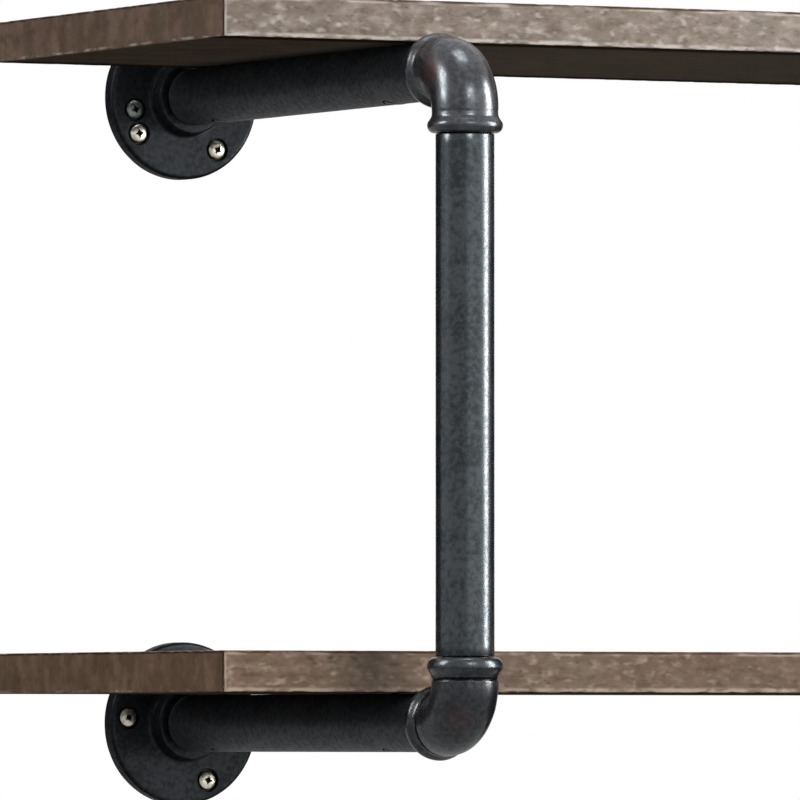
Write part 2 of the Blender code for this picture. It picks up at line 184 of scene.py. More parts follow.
# Soft boxes: angle from the front, elevation, distance, width, height, watts, and whether they light
# the colours, are mirrored in what shines, or both
LAMPS = {
    "main": (33, 36, 1.2, 0.5, 0.5, 8.9, "lights"),
    "key": (-45, 12, 1.7, 0.5, 0.5, 4.5, "lights"),
    "fill": (36, 5, 1.8, 1.7, 1.3, 6.3, "lights"),
    "left": (-100, 31, 1.6, 0.2, 0.75, 4, "lights"),
    "low_left": (-80, -6, 2.0, 1.0, 1.0, 4.5, "lights"),
    "top": (0, 84, 1.4, 0.5, 0.5, 7, "both"),
    "back": (180, 15, 2.0, 1.2, 1.2, 20, "lights"),
    "front_sheen": (17, 5, 1.8, 2.5, 1.3, 10.5, "mirrored"),
    "key_sheen": (-8, 25, 1.5, 0.38, 0.42, 8.5, "mirrored"),
    "strip_sheen": (59, 12, 1.5, 0.46, 1.1, 46, "mirrored"),
    "left_sheen": (-100, 26, 1.6, 0.42, 0.8, 22, "mirrored"),
}

# Dark cards: angle from the front, elevation, distance, width and height
CARDS = {
    "right_card": (105, 0, 2.5, 2.6, 3.0),
    "left_card": (-160, 13, 2.5, 2.6, 2.0),
}

# Facets round each kind of piece
TUBE_STEPS = 96
ELBOW_STEPS = 96
FLANGE_STEPS = 144
SCREW_STEPS = 36
HOLE_STEPS = 48

# Rings along each kind of piece
SPIGOT_RINGS = 36
SOCKET_RINGS = 46
SCREW_TURN_RINGS = 9
HEAD_RINGS = 8
BEAD_CROWN_RINGS = 8
BEAD_SLOPE_RINGS = 10
GROOVE_RINGS = 8
BEND_RINGS = 24
PASSAGE_RINGS = 10
RECESS_CORNER_STEPS = 4
RIM_RINGS = 10
PLATE_RINGS = 8
FILLET_RINGS = 6
CHAMFER_RINGS = 5
TUBE_RING_SPACING = 4 * MM
HUB_RING_RISE = 2 * MM

# A board's grid: its spacing along each axis, and the lines inside its rounded edges
BOARD_SPACING = (2.2 * MM, 3 * MM, 2 * MM)
BOARD_ROUND_SHARES = (0, 0.3, 0.65, 1)
BOARD_MARGINS = (1.4 * MM, 2.2 * MM, 3.2 * MM)

SMOOTH_ANGLE = math.radians(38)
MERGE_DISTANCE = 1e-6

# Kinds of ray that a stage sheet can be hidden from
RAYS = ("camera", "diffuse", "glossy", "transmission", "volume_scatter", "shadow")

# Sockets of a Mix node for its factor and two colours, and for its blend
MIX_INPUTS = (0, 6, 7)
MIX_OUTPUT = 2

# Coats of the dark metals. A warm spot is in millimetres from the crossing of an elbow's axes.
COATS = {
    "gunmetal_coat": dict(
        dark=(0.004, 0.007, 0.010),
        light=(0.028, 0.032, 0.038),
        warm=(0.034, 0.022, 0.022),
        gloss=0.52, roughness=0.26, seed=1.0, lumps=0.02 * MM,
    ),
    # The elbows of both tiers are the same fitting: the upper coat is lighter and glossier and the lower
    # coat darker and duller, which is painted light and shade of the two tiers
    "upper_cast_coat": dict(
        dark=(0.015, 0.015, 0.019),
        light=(0.046, 0.044, 0.052),
        warm=(0.085, 0.036, 0.034),
        gloss=0.6, roughness=0.26, seed=2.0, warm_share=0.3, warm_spot=(-13, 5, -1),
    ),
    "lower_cast_coat": dict(
        dark=(0.009, 0.0105, 0.013),
        light=(0.03, 0.031, 0.036),
        warm=(0.06, 0.024, 0.022),
        gloss=0.48, roughness=0.26, seed=2.0, warm_share=0.3, warm_spot=(-7, -8, 1),
        # Painted shade: a dark, less shiny band in the groove behind the lower elbows' beads
        groove=(18.0 * MM, 19.4 * MM),
    ),
    # The arms are the uprights' tube: their duller, less glossy coat is painted shade from the boards above
    # them
    "arm_coat": dict(
        dark=(0.018, 0.022, 0.026),
        light=(0.036, 0.040, 0.046),
        warm=(0.04, 0.032, 0.030),
        gloss=0.12, roughness=0.45, seed=3.0, lumps=0.02 * MM,
    ),
    # The flanges are cast like the elbows: their darker, duller coat is partly their own matte black and
    # partly painted shade from the boards above them
    "flange_coat": dict(
        dark=(0.005, 0.006, 0.0075),
        light=(0.012, 0.014, 0.0175),
        warm=(0.016, 0.011, 0.010),
        gloss=0.3, rim_gloss=0.05, roughness=0.42, seed=5.0,
    ),
    "black_screw": dict(
        dark=(0.005, 0.005, 0.005),
        light=(0.012, 0.012, 0.012),
        warm=(0.01, 0.008, 0.007),
        gloss=0.3, roughness=0.4, seed=4.0,
    ),
}

# Screw metals: bare colour, tarnished colour in 255ths, and roughness
METALS = {
    "bright_screw": ((226, 223, 208), (180, 174, 155), 0.36),
    "dull_screw": ((138, 148, 144), (104, 110, 106), 0.45),
}


def mesh_from(bm, name):
    """A closed mesh with its faces outward, smooth but for its real edges."""
    bmesh.ops.remove_doubles(bm, verts=bm.verts, dist=MERGE_DISTANCE)
    bmesh.ops.recalc_face_normals(bm, faces=bm.faces)
    mesh = bpy.data.meshes.new(name)
    bm.to_mesh(mesh)
    bm.free()
    mesh.shade_smooth()
    mesh.set_sharp_from_angle(angle=SMOOTH_ANGLE)
    return mesh


def mesh_of_rings(rings, name, matrix=None):
    """A closed mesh through rings of points, each an array (steps, 3), the last joined to the first."""
    points = np.concatenate(rings)
    count, steps = len(rings), len(rings[0])
    ring, step = np.meshgrid(np.arange(count), np.arange(steps), indexing="ij")
    after, along = (ring + 1) % count, (step + 1) % steps
    corners = [ring * steps + step, ring * steps + along, after * steps + along, after * steps + step]
    faces = np.stack(corners, axis=-1).reshape(-1, 4)
    mesh = bpy.data.meshes.new(name)
    mesh.from_pydata(points.tolist(), [], faces.tolist())
    bm = bmesh.new()
    bm.from_mesh(mesh)
    bpy.data.meshes.remove(mesh)
    if matrix is not None:
        bmesh.ops.transform(bm, matrix=matrix, verts=bm.verts)
    return mesh_from(bm, name)


def wave_of(points, size, seed):
    """Smooth noise from 0 to 1 at each point."""
    shift = Vector([seed * step for step in WAVE_SEED_STEPS])
    values = [noise.noise(Vector(point) / size + shift) for point in points]
    return np.clip(0.5 + WAVE_GAIN * np.array(values), 0, 1)


def ridge(turns):
    """The height, 0 to 1, of a thread's profile at this many turns."""
    return np.clip(RIDGE_FULLNESS - 2 * RIDGE_FULLNESS * np.abs(turns % 1 - 0.5), 0, 1)


def ring_of(radii, angles, height):
    """Points round Z at one height, each at its own radius and angle."""
    return np.stack([radii * np.cos(angles), radii * np.sin(angles), np.full(len(angles), height)], axis=-1)


def turned_rings(stations, steps, wave=0, wave_size=1, seed=0):
    """Rings about Z through (height, radius, kind) stations. A kind is plain, skin or thread."""
    angles = np.arange(steps) * math.tau / steps
    rings = []
    for height, radius, kind in stations:
        radii = np.full(steps, radius)
        if kind == "thread":
            radii += PIPE_THREAD_DEPTH * ridge(height / PIPE_PITCH - angles / math.tau)
        ring = ring_of(radii, angles, height)
        if kind == "skin" and wave:
            dip = wave * wave_of(ring, wave_size, seed)
            ring[:, :2] *= (1 - dip / radius)[:, None]
        rings.append(ring)
    return rings


def arc(centre, radius, first, last, count):
    """Points of an arc as (first axis, second axis), from one angle to another in degrees."""
    angles = np.radians(np.linspace(first, last, count + 1))
    return [(centre[0] + radius * math.cos(a), centre[1] + radius * math.sin(a)) for a in angles]


def cut(mesh, cutters, name):
    """The mesh less each cutter mesh in turn."""
    scene = bpy.context.scene
    body = bpy.data.objects.new("cut_body", mesh)
    scene.collection.objects.link(body)
    tools = []
    for cutter in cutters:
        tool = bpy.data.objects.new("cut_tool", cutter)
        scene.collection.objects.link(tool)
        boolean = body.modifiers.new("hole", "BOOLEAN")
        boolean.operation = "DIFFERENCE"
        boolean.solver = "EXACT"
        boolean.object = tool
        tools.append(tool)
    bpy.context.view_layer.update()
    evaluated = body.evaluated_get(bpy.context.evaluated_depsgraph_get())
    result = bmesh.new()
    result.from_mesh(evaluated.to_mesh())
    evaluated.to_mesh_clear()
    for obj in [body, *tools]:
        used = obj.data
        bpy.data.objects.remove(obj, do_unlink=True)
        if not used.users:
            bpy.data.meshes.remove(used)
    return mesh_from(result, name)


def add_piece(node, mesh, material, location, rotation=(0, 0, 0)):
    """Stands a piece in for one node and makes it ride on the shelf's one body."""
    piece = bpy.data.objects.new(f"{node}_finished", mesh)
    bpy.context.scene.collection.objects.link(piece)
    piece.location = location
    piece.rotation_euler = rotation
    mesh.materials.clear()
    mesh.materials.append(material)
    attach(piece, "root")
    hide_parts(node)


def middle(node):
    """The middle of a node's box."""
    low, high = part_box(node)
    return (low + high) / 2


# Materials


class Nodes:
    """The node tree of one material, with a short call for each kind of node it needs.

    Its at is where a point is in its own piece, in metres.
    """

    def __init__(self, name):
        self.material = bpy.data.materials.new(name)
        self.material.use_nodes = True
        self.tree = self.material.node_tree
        self.shader = self.tree.nodes["Principled BSDF"]
        self.at = self.add("TexCoord").outputs["Object"]

    def link(self, value, socket):
        """Sets an input to a constant or links it to an output."""
        if isinstance(value, bpy.types.NodeSocket):
            self.tree.links.new(value, socket)
        elif socket.type == "RGBA":
            socket.default_value = (*value, 1)
        else:
            socket.default_value = value

    def fill(self, node, inputs):
        """Sets or links a node's inputs, named with underscores for spaces."""
        for name, value in inputs.items():
            self.link(value, node.inputs[name.replace("_", " ")])

    def add(self, kind, **inputs):
        """A new node of one kind with these inputs."""
        node = self.tree.nodes.new(f"ShaderNode{kind}")
        self.fill(node, inputs)
        return node

    def set(self, **inputs):
        """Sets the shader's own inputs."""
        self.fill(self.shader, inputs)

    def normal(self):
        """The true normal, as (x, y, z)."""
        return self.parts(self.add("NewGeometry").outputs["True Normal"])

    def front(self):
        """1 on the front of a face and 0 on its back."""
        return self.math("SUBTRACT", 1.0, self.add("NewGeometry").outputs["Backfacing"])

    def parts(self, vector):
        """A vector's three parts."""
        return self.add("SeparateXYZ", Vector=vector).outputs[:3]

    def distance(self, point):
        """How far it is from a point."""
        node = self.add("VectorMath", Vector=self.at)
        node.operation = "DISTANCE"
        node.inputs[1].default_value = point
        return node.outputs["Value"]

    def spots(self, sizes, shift=(0, 0, 0), **kind):
        """Noise from 0 to 1 with spots of these sizes along each axis, in metres."""
        scales = [1 / size for size in sizes]
        mapping = self.add("Mapping", Vector=self.at, Location=shift, Scale=scales)
        return self.add("TexNoise", Vector=mapping.outputs[0], Scale=1, **kind).outputs[0]

    def math(self, operation, first, second=0.0, third=0.0):
        """One sum on numbers."""
        node = self.add("Math")
        node.operation = operation
        for value, socket in zip((first, second, third), node.inputs):
            self.link(value, socket)
        return node.outputs[0]

    def times(self, *factors):
        """The product of numbers."""
        return reduce(lambda product, factor: self.math("MULTIPLY", product, factor), factors)

    def largest(self, *values):
        """The largest of numbers."""
        return reduce(lambda largest, value: self.math("MAXIMUM", largest, value), values)

    def ramp(self, value, low, high, start=0.0, end=1.0):
        """The value carried smoothly from low..high to start..end."""
        node = self.add("MapRange", Value=value, From_Min=low, From_Max=high, To_Min=start, To_Max=end)
        node.interpolation_type = "SMOOTHSTEP"
        return node.outputs[0]

    def mix(self, factor, first, second):
        """A blend of two colours."""
        node = self.add("Mix")
        node.data_type = "RGBA"
        for value, socket in zip((factor, first, second), MIX_INPUTS):
            self.link(value, node.inputs[socket])
        return node.outputs[MIX_OUTPUT]

    def bump(self, height, distance, normal=None):
        """A normal bent by a height from 0 to 1 that stands for this distance."""
        node = self.add("Bump", Strength=1, Distance=distance, Height=height)
        if normal is not None:
            self.link(normal, node.inputs["Normal"])
        return node.outputs[0]


def srgb(red, green, blue):
    """A colour written 0 to 255, as the shader wants it."""
    return tuple((value / 255) ** 2.2 for value in (red, green, blue))


def coated_metal(
    name, dark, light, warm, gloss, roughness, seed,
    warm_share=0.4, warm_spot=None, rim_gloss=None, lumps=0.04 * MM, groove=None,
):
    """Dark coated metal: mottled and a little lumpy, cool in its shine, with faint warm patches.

    A warm spot is a point of the piece, in millimetres. A rim gloss is the shine of what faces aside.
    The lumps are the height of the mottled relief. A groove is how far from the crossing of an
    elbow's axes, from and to, painted shade lies behind its beads: a dark colour and less shine.
    """
    nodes = Nodes(name)

    def specks(size, shift=0, **kind):
        return nodes.spots((size,) * 3, (shift,) * 3, **kind)

    mottle = specks(2.4 * MM, seed, Detail=4, Roughness=0.62)
    grit = specks(0.9 * MM, Roughness=0.6)
    shade = nodes.math("ADD", nodes.times(mottle, 0.7), nodes.times(specks(14 * MM, seed + 9), 0.3))
    colour = nodes.mix(nodes.ramp(shade, 0.42, 0.58), dark, light)
    warmth = nodes.ramp(specks(11 * MM, seed + 4), 0.56, 0.74, 0, warm_share)
    colour = nodes.mix(warmth, colour, warm)
    if warm_spot is not None:
        from_spot = nodes.distance([value * MM for value in warm_spot])
        ragged = nodes.math("ADD", from_spot, nodes.times(mottle, 5 * MM))
        colour = nodes.mix(nodes.ramp(ragged, 5 * MM, 12 * MM, 0.7, 0), colour, warm)
    shine = nodes.ramp(shade, 0.36, 0.64, gloss * 0.72, gloss * 1.22)
    if rim_gloss is not None:
        facing = nodes.times(nodes.normal()[1], -1.0)
        shine = nodes.times(shine, nodes.ramp(facing, 0.7, 0.98, rim_gloss / gloss, 1))
    # Painted shade in the groove behind the beads: a dark colour and less shine there
    if groove is not None:
        _, y, z = nodes.parts(nodes.at)
        along = nodes.largest(y, nodes.math("ABSOLUTE", z))
        ragged = nodes.times(nodes.math("SUBTRACT", mottle, 0.5), 1.2 * MM)
        along = nodes.math("ADD", along, ragged)
        unshaded = nodes.largest(
            nodes.ramp(along, groove[0] - 0.3 * MM, groove[0] + 0.2 * MM, 1, 0),
            nodes.ramp(along, groove[1] - 0.2 * MM, groove[1] + 0.3 * MM),
        )
        painted_shade = (0.004, 0.003, 0.003)
        colour = nodes.mix(unshaded, painted_shade, colour)
        shine = nodes.times(shine, nodes.largest(unshaded, 0.12))
    nodes.set(
        Base_Color=colour,
        Roughness=nodes.ramp(mottle, 0.25, 0.75, roughness + 0.06, roughness - 0.06),
        Specular_IOR_Level=shine,
        Specular_Tint=(0.86, 0.95, 1.0),
        Metallic=0.0,
        Normal=nodes.bump(grit, 0.01 * MM, nodes.bump(mottle, lumps)),
    )
    return nodes.material


def plated_metal(name, bare, tarnished, roughness):
    """Bare or plated screw metal with fine scratches and tarnish, and painted shade down in its recess."""
    nodes = Nodes(name)
    x, y, height = nodes.parts(nodes.at)
    radius = nodes.math("SQRT", nodes.math("ADD", nodes.times(x, x), nodes.times(y, y)))
    # Painted shade down in the recess
    recess_shade = nodes.times(
        nodes.ramp(radius, 1.7 * MM, 2.1 * MM, 1, 0),
        nodes.ramp(height, 0, 0.2 * MM),
        nodes.ramp(height, WALL_HEAD_HEIGHT - 0.55 * MM, WALL_HEAD_HEIGHT - 0.2 * MM, 1, 0),
    )
    tarnish = nodes.spots((2.2 * MM,) * 3, Detail=3)
    scratch = nodes.spots((0.25 * MM, 0.25 * MM, 2 * MM))
    metal = nodes.mix(nodes.ramp(tarnish, 0.4, 0.7), srgb(*bare), srgb(*tarnished))
    painted_shade = (0.012, 0.011, 0.01)
    nodes.set(
        Base_Color=nodes.mix(recess_shade, metal, painted_shade),
        Metallic=1.0,
        Roughness=nodes.ramp(scratch, 0.3, 0.7, roughness - 0.05, roughness + 0.1),
        Normal=nodes.bump(scratch, 0.01 * MM),
    )
    return nodes.material


class Wood(Nodes):
    """The node tree of one board, which knows where a point lies on it.

    Sizes of flecks and distances from an edge are given to it in millimetres.
    """

    def __init__(self, name, half_size, seed, stain):
        super().__init__(name)
        self.shift = (seed, seed * 2, seed * 3)
        self.stain = stain
        normal = self.normal()
        self.on_end, self.on_side, self.on_face = [
            self.ramp(self.math("ABSOLUTE", part), 0.7, 0.9) for part in normal
        ]
        self.underneath = self.ramp(normal[2], -0.6, -0.85)
        self.x, y, z = self.parts(self.at)
        self.half_length = half_size[0]
        self.from_end, self.from_side = [
            self.math("SUBTRACT", half, self.math("ABSOLUTE", part))
            for half, part in zip(half_size, (self.x, y))
        ]
        self.from_bottom = self.math("ADD", z, half_size[2])
        self.from_top = self.math("SUBTRACT", half_size[2], z)

    def tone(self, shade, taken=None):
        """A shade, red, green and blue to 255, as a stain takes it."""
        return tuple(value * share for value, share in zip(srgb(*shade), taken or self.stain))

    def flecks(self, x, y, z, more=0, **kind):
        """Noise with flecks of this size along each axis."""
        return self.spots((x * MM, y * MM, z * MM), [value + more for value in self.shift], **kind)

    def within(self, distance, full, none, share=1):
        """The share where a distance is less than full, and 0 where it is more than none."""
        return self.ramp(distance, full * MM, none * MM, share, 0)

    def layered(self, colour, layers, taken=None):
        """The colour under layers, each (value, its start, where it is full, share, shade, places)."""
        for value, start, full, share, shade, *places in layers:
            amount = self.times(self.ramp(value, start, full, 0, share), *places)
            colour = self.mix(amount, colour, self.tone(shade, taken))
        return colour


def end_grain(wood, taken):
    """The colour of a board's ends."""
    streak = wood.flecks(30, 12, 34, 4)
    layers = [
        (wood.flecks(30, 15, 20, 2), 0.38, 0.62, 1, (96, 73, 59)),
        (streak, 0.42, 0.62, 0.6, (76, 67, 45)),
        (streak, 0.46, 0.28, 0.4, (130, 104, 90)),
        (wood.flecks(3, 9, 6, 6), 0.5, 0.74, 0.6, (68, 48, 38)),
    ]
    return wood.layered(wood.tone((119, 96, 80), taken), layers, taken)


def worn_edges_and_painted_shade(wood, colour):
    """The colour with pale worn strips along a board's edges, dark lines beside them, and painted shade
    under its front and back edges underneath.
    """
    times, within, ramp = wood.times, wood.within, wood.ramp
    rag = wood.flecks(7, 8, 3, 1, Detail=3)
    worn = ramp(wood.flecks(34, 30, 30, 15), 0.42, 0.58)
    dashed = ramp(wood.flecks(17, 9, 30), 0.46, 0.62)
    from_rim = wood.math("MINIMUM", wood.from_end, wood.from_side)
    not_under = wood.math("SUBTRACT", 1.0, wood.underneath)
    pale = wood.largest(
        times(wood.on_side, within(wood.from_bottom, 1.2, 2.7), ramp(rag, 0.34, 0.58, 0.2, 1)),
        times(wood.on_side, within(wood.from_top, 1.3, 2.4, 0.8), dashed),
        times(wood.on_end, within(wood.from_bottom, 0.7, 1.9, 0.75), ramp(rag, 0.42, 0.66), worn),
        times(wood.on_side, within(wood.from_end, 0.6, 1.8, 0.8)),
        times(wood.on_face, within(from_rim, 0.8, 2.4), ramp(rag, 0.42, 0.6), worn, not_under),
    )
    colour = wood.mix(times(pale, 0.82), colour, wood.tone((228, 219, 211)))
    bared = ramp(wood.flecks(30, 9, 30, 8), 0.4, 0.56)
    bare = times(wood.on_side, within(wood.from_top, 0.8, 1.5), bared)
    colour = wood.mix(bare, colour, wood.tone((92, 66, 42)))
    # Dark lines along the edges, and painted shade under the front and back edges of the underside
    off_face = wood.math("SUBTRACT", 1.0, wood.on_face)
    dark = wood.largest(
        times(off_face, within(wood.from_top, 0.4, 0.8, 0.7)),
        times(wood.on_end, within(wood.from_top, 0.7, 1.5), ramp(rag, 0.38, 0.5, 0.3, 1)),
        times(wood.on_end, within(wood.from_side, 0.9, 2.0, 0.9)),
        # Painted shade: a dark band under the front and back edges of the underside
        times(wood.underneath, within(wood.from_side, 9, 24, 0.8)),
    )
    return wood.mix(dark, colour, wood.tone((44, 27, 20)))


def board_wood(name, half_size, tier):
    """Grey-brown board: blotched and flecked, with long grain, pale worn edges and dark corner lines, and
    painted shade underneath along its front and back edges and near its ends.
    """
    wood = Wood(name, half_size, WOOD_SEED[tier], STAIN[tier])
    on_face = wood.on_face
    calm = wood.math("MULTIPLY_ADD", on_face, -0.5, 0.88)
    blotch = wood.flecks(7.5, 5.0, 4.0)
    dash = wood.flecks(5.8, 4.0, 3.2, 5, Detail=1)
    speck = wood.flecks(4.4, 3.0, 2.3, 7, Detail=1)
    rings = wood.math("SINE", wood.times(wood.flecks(240, 22, 40, Distortion=0.4), 90.0))
    broken = wood.ramp(wood.flecks(50, 1.6, 1.6), 0.3, 0.6)
    fibre = wood.flecks(110, 3.2, 5, 13, Detail=4, Roughness=0.65)
    pores = wood.flecks(40, 1.2, 1.2, Detail=3, Roughness=0.6)
    grained = wood.math("MULTIPLY_ADD", on_face, 0.2, 0.12)

    # The stain and its blotches, calmer on the broad faces, then the long grain, clearest on them
    layers = [
        (wood.flecks(60, 24, 14), 0.35, 0.65, 1, (150, 139, 128)),
        (wood.flecks(15, 12, 9, 3), 0.4, 0.6, 0.5, (156, 139, 132)),
        (blotch, 0.46, 0.74, 0.6, (194, 181, 171), calm),
        (blotch, 0.5, 0.26, 0.5, (106, 92, 80), calm),
        (dash, 0.54, 0.84, 0.9, (220, 210, 202), calm),
        (speck, 0.52, 0.84, 0.6, (84, 70, 60), calm),
        (wood.flecks(1.6, 1.1, 1.0, 11), 0.44, 0.26, 0.25, (96, 82, 72)),
        (wood.x, -0.8 * wood.half_length, -0.1 * wood.half_length, DEEPENING[tier], (88, 72, 60)),
        (rings, 0.2, 1.0, 0.7, (100, 84, 72), broken, on_face),
        (fibre, 0.5, 0.72, 0.6, (176, 163, 152), on_face),
        (fibre, 0.48, 0.28, 0.55, (98, 83, 71), on_face),
        (pores, 0.54, 0.68, 1, (100, 85, 73), grained),
    ]
    colour = wood.layered(wood.tone((138, 125, 113)), layers)
    colour = wood.mix(wood.times(wood.on_end, 0.88), colour, end_grain(wood, END_STAIN[tier]))

    # The undersides are greyer, with painted shade that darkens them near their ends
    shaded_near_end = wood.ramp(wood.math("ABSOLUTE", wood.x), 0.6 * wood.half_length, 0.85 * wood.half_length)
    grey = wood.mix(shaded_near_end, wood.tone((134, 142, 134)), wood.tone((92, 88, 77)))
    colour = wood.mix(wood.times(wood.underneath, 0.5), colour, grey)

    relief = wood.math("ADD", wood.times(dash, 0.6), wood.times(pores, 0.4))
    wood.set(
        Base_Color=worn_edges_and_painted_shade(wood, colour),
        Roughness=wood.ramp(dash, 0.3, 0.7, 0.62, 0.78),
        Specular_IOR_Level=wood.ramp(wood.underneath, 0, 1, 0.1, 0),
        Normal=wood.bump(relief, 0.16 * MM),
    )
    return wood.material


# Pieces


def tube_stations(length):
    """Stations of a tube from one spigot's end to the other, out along its outside and back inside."""
    root_radius = SPIGOT_RADIUS - PIPE_THREAD_DEPTH
    half = [(0, SPIGOT_BORE_RADIUS, "plain"), (0, root_radius, "plain")]
    half += [(SPIGOT_LENGTH * i / SPIGOT_RINGS, root_radius, "thread") for i in range(1, SPIGOT_RINGS)]
    half += [
        (SPIGOT_LENGTH, root_radius, "plain"),
        (SPIGOT_LENGTH, TUBE_RADIUS - TUBE_CHAMFER, "plain"),
        (SPIGOT_LENGTH + TUBE_CHAMFER * CHAMFER_BEND, TUBE_RADIUS - TUBE_CHAMFER * CHAMFER_BEND, "plain"),
        (SPIGOT_LENGTH + TUBE_CHAMFER, TUBE_RADIUS, "plain"),
    ]
    other = [(length - height, radius, kind) for height, radius, kind in reversed(half)]
    first, last = half[-1][0], other[0][0]
    count = round((last - first) / TUBE_RING_SPACING)
    skin = [(first + (last - first) * i / count, TUBE_RADIUS, "skin") for i in range(1, count)]
    bore = TUBE_RADIUS - TUBE_WALL
    neck = SPIGOT_LENGTH + NECK_START
    inside = [
        (length - neck, SPIGOT_BORE_RADIUS, "plain"),
        (length - neck - NECK_LENGTH, bore, "plain"),
        (neck + NECK_LENGTH, bore, "plain"),
        (neck, SPIGOT_BORE_RADIUS, "plain"),
    ]
    return half + skin + other + inside


def tube_mesh(length, name, seed, matrix):
    """A tube along Z from its lower spigot's end."""
    rings = turned_rings(tube_stations(length), TUBE_STEPS, TUBE_WAVE, TUBE_WAVE_SIZE, seed)
    return mesh_of_rings(rings, name, matrix)


def hole_cutter(top_radius, floor, low, face, past, matrix):
    """A cutter for a screw hole with a counterbore above its floor and a broken edge at its face."""
    wide = top_radius + EDGE_BREAK
    profile = [(0, low), (SCREW_HOLE_RADIUS, low), (SCREW_HOLE_RADIUS, floor), (top_radius, floor)]
    profile += [(top_radius, face - EDGE_BREAK), (wide, face), (wide, past), (0, past)]
    rings = turned_rings([(height, radius, "plain") for radius, height in profile], HOLE_STEPS)
    return mesh_of_rings(rings + rings[-1:], "hole_cutter", matrix)


def build_uprights(material):
    """The two upright tubes."""
    for seed, side in enumerate(SIDES):
        node = f"{side}_upright"
        low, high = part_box(node)
        centre = middle(node)
        length = high.z - low.z
        centred = Matrix.Translation((0, 0, -length / 2))
        mesh = tube_mesh(length, node, SHAPE_SEED["upright"] + seed, centred)
        add_piece(node, mesh, material, centre)


def build_arms(material):
    """The four arms, each drilled from below for its two board screws."""
    for seed, (side, tier) in enumerate(CORNERS):
        node = f"{side}_{tier}_arm"
        low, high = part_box(node)
        centre = middle(node)
        length = high.y - low.y
        laid_down = Matrix.Rotation(math.radians(90), 4, "X") @ Matrix.Translation((0, 0, -length / 2))
        mesh = tube_mesh(length, node, SHAPE_SEED["arm"] + seed, laid_down)
        floor = TUBE_RADIUS - BOARD_HEAD_HEIGHT - SEAT_GAP
        past = TUBE_RADIUS + CUT_PAST
        cutters = []
        for end in ("front", "back"):
            screw = middle(f"{side}_{tier}_board_screw_{end}")
            stand = Matrix.Translation((0, screw.y - centre.y, 0)) @ Matrix.Rotation(math.pi, 4, "X")
            cutters.append(hole_cutter(BOARD_COUNTERBORE_RADIUS, floor, -past, TUBE_RADIUS, past, stand))
        add_piece(node, cut(mesh, cutters, node), material, centre)


def elbow_centre_line(distance, bend_radius):
    """Where an elbow's centre line is, and its direction, this far from the mouth that faces down."""
    straight = ELBOW_REACH - bend_radius
    curve = bend_radius * math.pi / 2
    if distance <= straight:
        return Vector((0, 0, distance - ELBOW_REACH)), Vector((0, 0, 1))
    if distance >= straight + curve:
        past = distance - straight - curve
        return Vector((0, bend_radius + past, 0)), Vector((0, 1, 0))
    turn = (distance - straight) / bend_radius
    centre = Vector((0, bend_radius * (1 - math.cos(turn)), bend_radius * (math.sin(turn) - 1)))
    return centre, Vector((0, math.sin(turn), math.cos(turn)))


def bead_stations(tier):
    """(distance from the mouth, radius) over the rounded bead and the groove behind it."""
    crown, foot = BEAD_CROWN[tier], BEAD_FOOT[tier]
    stations = [(0, BEAD_MOUTH_RADIUS - EDGE_BREAK)]
    for i in range(1, BEAD_CROWN_RINGS + 1):
        angle = math.pi / 2 * i / BEAD_CROWN_RINGS
        share = math.sin(angle) ** BEAD_FULLNESS
        distance = crown * (1 - math.cos(angle))
        stations.append((distance, BEAD_MOUTH_RADIUS + (BEAD_RADIUS - BEAD_MOUTH_RADIUS) * share))
    for i in range(1, BEAD_SLOPE_RINGS + 1):
        share = 0.5 + 0.5 * math.cos(math.pi * i / BEAD_SLOPE_RINGS)
        distance = crown + (foot - crown) * i / BEAD_SLOPE_RINGS
        stations.append((distance, ELBOW_RADIUS + (BEAD_RADIUS - ELBOW_RADIUS) * share))
    for i in range(1, GROOVE_RINGS + 1):
        distance = foot + (GROOVE_END - foot) * i / GROOVE_RINGS
        dip = GROOVE_DEPTH[tier] * math.sin(math.pi * i / GROOVE_RINGS) ** 2
        stations.append((distance, ELBOW_RADIUS - dip))
    return stations


def elbow_mesh(name, tier, seed, matrix):
    """A cast elbow whose mouths face down and towards the wall, about the crossing of its axes."""
    bead = bead_stations(tier)
    straight = ELBOW_REACH - ELBOW_BEND_RADIUS
    curve = ELBOW_BEND_RADIUS * math.pi / 2
    whole = 2 * straight + curve
    bend = [(straight + curve * i / BEND_RINGS, ELBOW_RADIUS) for i in range(BEND_RINGS + 1)]
    outside = bead + bend + [(whole - distance, radius) for distance, radius in reversed(bead)]
    passage_bend = ELBOW_REACH - SOCKET_DEPTH
    inner_whole = 2 * SOCKET_DEPTH + passage_bend * math.pi / 2
    socket = [
        (0, SOCKET_RADIUS + SOCKET_LEAD_IN),
        (SOCKET_LEAD_IN, SOCKET_RADIUS),
        (SOCKET_DEPTH, SOCKET_RADIUS),
        (SOCKET_DEPTH, PASSAGE_RADIUS),
    ]
    passage = inner_whole - 2 * SOCKET_DEPTH
    inside = [(inner_whole - distance, radius) for distance, radius in socket]
    for i in range(1, PASSAGE_RINGS):
        inside.append((SOCKET_DEPTH + passage * (1 - i / PASSAGE_RINGS), PASSAGE_RADIUS))
    inside += socket[::-1]

    angles = np.arange(ELBOW_STEPS) * math.tau / ELBOW_STEPS
    rings = []
    for bend_radius, stations in ((ELBOW_BEND_RADIUS, outside), (passage_bend, inside)):
        for distance, radius in stations:
            centre, along = elbow_centre_line(distance, bend_radius)
            across = along.cross(Vector((1, 0, 0)))
            spokes = np.outer(np.cos(angles), (1, 0, 0)) + np.outer(np.sin(angles), across)
            ring = np.array(centre) + radius * spokes
            if stations is outside:
                ring -= spokes * (CAST_WAVE * wave_of(ring, CAST_WAVE_SIZE, seed))[:, None]
            rings.append(ring)
    return mesh_of_rings(rings, name, matrix)


